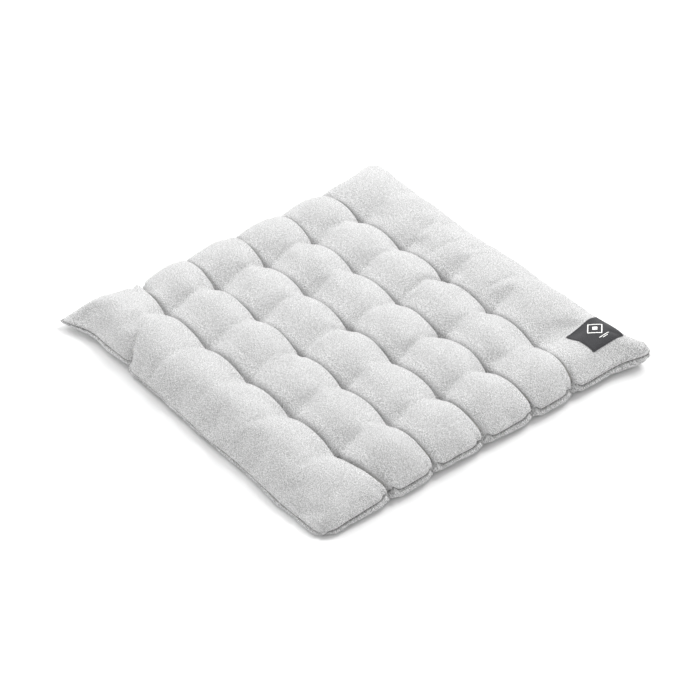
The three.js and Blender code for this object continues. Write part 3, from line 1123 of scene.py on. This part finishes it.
class SEATPAD_OT_label(Operator):
    """Lays the woven label on the top panel, with its mark and its stitches."""

    bl_idname = "seatpad.label"
    bl_label = "Woven label"

    def execute(self, context):
        sizes = context.scene.seat_pad_label
        colours = context.scene.seat_pad_colours
        middle = (LABEL_LOW + LABEL_HIGH) / 2
        width, depth = LABEL_HIGH.x - LABEL_LOW.x, LABEL_HIGH.y - LABEL_LOW.y

        bpy.ops.mesh.primitive_grid_add(x_subdivisions=36, y_subdivisions=40, size=1)
        label = added("label")
        put(label, middle.x, middle.y, size=(width, depth))
        self.lay(label, LABEL_LIFT)
        apply_modifier(label, "SOLIDIFY", thickness=sizes.thickness, offset=1)
        apply_modifier(label, "BEVEL", width=0.2 * MM, segments=2, angle_limit=math.radians(50))
        hand_over(label, "label_fabric", label_weave("Label weave", colours.label), "woven_label")

        top = LABEL_LIFT + sizes.thickness
        mark = self.mark(sizes.mark, middle, depth)
        self.lay(mark, top + MARK_LIFT)
        apply_modifier(mark, "SOLIDIFY", thickness=MARK_THICKNESS, offset=1)
        hand_over(mark, "label_thread", label_weave("Label mark yarn", colours.mark))

        stitches = self.stitches(sizes, middle, width, depth, top)
        thread = spun_thread("Label thread", colours.label_thread)
        hand_over(stitches, "label_thread", thread, "label_stitching")
        return {"FINISHED"}

    def lay(self, piece, height):
        """Drops a flat piece onto the top panel, evened out so that it spans the cloth's small folds."""
        points = points_of(piece.data)
        points[:, 2] = [top_surface_height(x, y) for x, y, _ in points]
        set_points(piece.data, points)
        apply_modifier(piece, "SMOOTH", factor=0.5, iterations=6)
        smooth = points_of(piece.data)
        points[:, 2] = smooth[:, 2] + height
        set_points(piece.data, points)

    def mark(self, size, middle, depth):
        """A generic woven mark: a rhombus frame round a small rhombus, with two short bars beside them."""
        parts = []
        centre = middle + Vector((-3 * MM, 0.06 * depth, 0))
        for across, inner in ((size, 0.86), (0.34 * size, 0.0)):
            bpy.ops.mesh.primitive_circle_add(vertices=4, radius=across / 2, fill_type="NGON")
            part = added("part")
            if inner:
                border = 0.5 * across * (1 - inner) * math.cos(math.pi / 4)
                inset = partial(bpy.ops.mesh.inset, thickness=border)
                in_edit_mode(part, inset, partial(bpy.ops.mesh.delete, type="FACE"))
            in_edit_mode(part, partial(bpy.ops.mesh.subdivide, number_cuts=5))
            put(part, centre.x, centre.y)
            parts.append(part)
        for k, span in enumerate((0.62, 0.30)):
            bpy.ops.mesh.primitive_grid_add(x_subdivisions=3, y_subdivisions=12, size=1)
            bar = added("bar")
            put(bar, centre.x + 0.62 * size + 1.7 * MM * k, centre.y, size=(0.7 * MM, span * size))
            parts.append(bar)
        return join(parts, "label_mark")

    def stitches(self, sizes, middle, width, depth, top):
        """A running stitch round the label, just inside its edge."""
        half_x, half_y = width / 2 - sizes.stitch_inset, depth / 2 - sizes.stitch_inset
        signs = [(-1, -1), (1, -1), (1, 1), (-1, 1), (-1, -1)]
        corners = [(sx * half_x, sy * half_y) for sx, sy in signs]
        path = []
        for (x0, y0), (x1, y1) in zip(corners, corners[1:]):
            for share in np.linspace(0, 1, 24, endpoint=False):
                x, y = middle.x + x0 + (x1 - x0) * share, middle.y + y0 + (y1 - y0) * share
                path.append((x, y, top_surface_height(x, y) + top + 0.1 * MM))
        return thread_along("label_stitches", np.array(path), **LABEL_STITCH, cyclic=True)


class SEATPAD_OT_stage(Operator):
    """Sets the floor, the light and the camera."""

    bl_idname = "seatpad.stage"
    bl_label = "Studio stage"

    def execute(self, context):
        colours = context.scene.seat_pad_colours
        bpy.ops.mesh.primitive_plane_add(size=FLOOR_SIZE)
        floor = added("floor")
        floor.data.materials.append(floor_finish("Studio floor", colours.floor))
        for light in LIGHTS:
            self.light(**light)
        world = bpy.data.worlds.new("Studio")
        world.use_nodes = True
        background = world.node_tree.nodes["Background"].inputs
        background["Color"].default_value = (1, 1, 1, 1)
        background["Strength"].default_value = WORLD_STRENGTH
        context.scene.world = world
        context.scene.view_settings.view_transform = "Standard"
        self.camera()
        return {"FINISHED"}

    def light(self, name, place, size, power):
        bpy.ops.object.light_add(type="AREA", location=place)
        lamp = bpy.context.object
        lamp.name = name
        lamp.data.size = size
        lamp.data.energy = power
        lamp.rotation_euler = (-Vector(place)).to_track_quat("-Z", "Y").to_euler()

    def camera(self):
        turn, tilt = math.radians(CAMERA["turn"]), math.radians(CAMERA["tilt"])
        back = Vector((math.sin(turn) * math.cos(tilt), -math.cos(turn) * math.cos(tilt), math.sin(tilt)))
        right = back.cross(Vector((0, 0, 1))).normalized() * -1
        up = back.cross(right)
        aim = Vector((0, 0, CAMERA["height"])) + CAMERA["right"] * right + CAMERA["up"] * up
        bpy.ops.object.camera_add(location=aim + CAMERA["away"] * back)
        camera = bpy.context.object
        camera.rotation_euler = Matrix((right, up, back)).transposed().to_euler()
        camera.data.lens = CAMERA["lens"]
        camera.data.sensor_width = CAMERA["sensor"]
        bpy.context.scene.camera = camera


class SEATPAD_PT_panel(Panel):
    """The seat pad's sizes, colours and steps."""

    bl_label = "Seat Pad"
    bl_idname = "SEATPAD_PT_panel"
    bl_space_type = "VIEW_3D"
    bl_region_type = "UI"
    bl_category = "Seat Pad"

    def draw(self, context):
        for group in ("seat_pad_case", "seat_pad_threads", "seat_pad_label", "seat_pad_colours"):
            settings = getattr(context.scene, group)
            box = self.layout.box()
            for key in settings.__annotations__:
                box.prop(settings, key)
        for step in STEPS:
            self.layout.operator(step.bl_idname)


GROUPS = {
    "seat_pad_case": SeatPadCase,
    "seat_pad_threads": SeatPadThreads,
    "seat_pad_label": SeatPadLabel,
    "seat_pad_colours": SeatPadColours,
}
STEPS = [SEATPAD_OT_case, SEATPAD_OT_seam, SEATPAD_OT_ties, SEATPAD_OT_label, SEATPAD_OT_stage]


def register():
    for cls in (*GROUPS.values(), *STEPS, SEATPAD_PT_panel):
        bpy.utils.register_class(cls)
    for name, cls in GROUPS.items():
        setattr(bpy.types.Scene, name, PointerProperty(type=cls))


def unregister():
    for name in GROUPS:
        delattr(bpy.types.Scene, name)
    for cls in reversed((*GROUPS.values(), *STEPS, SEATPAD_PT_panel)):
        bpy.utils.unregister_class(cls)


def main():
    register()
    deselect_all()
    bpy.ops.seatpad.case()
    bpy.ops.seatpad.seam()
    bpy.ops.seatpad.ties()
    bpy.ops.seatpad.label()
    bpy.ops.seatpad.stage()


if __name__ == "__main__":
    main()
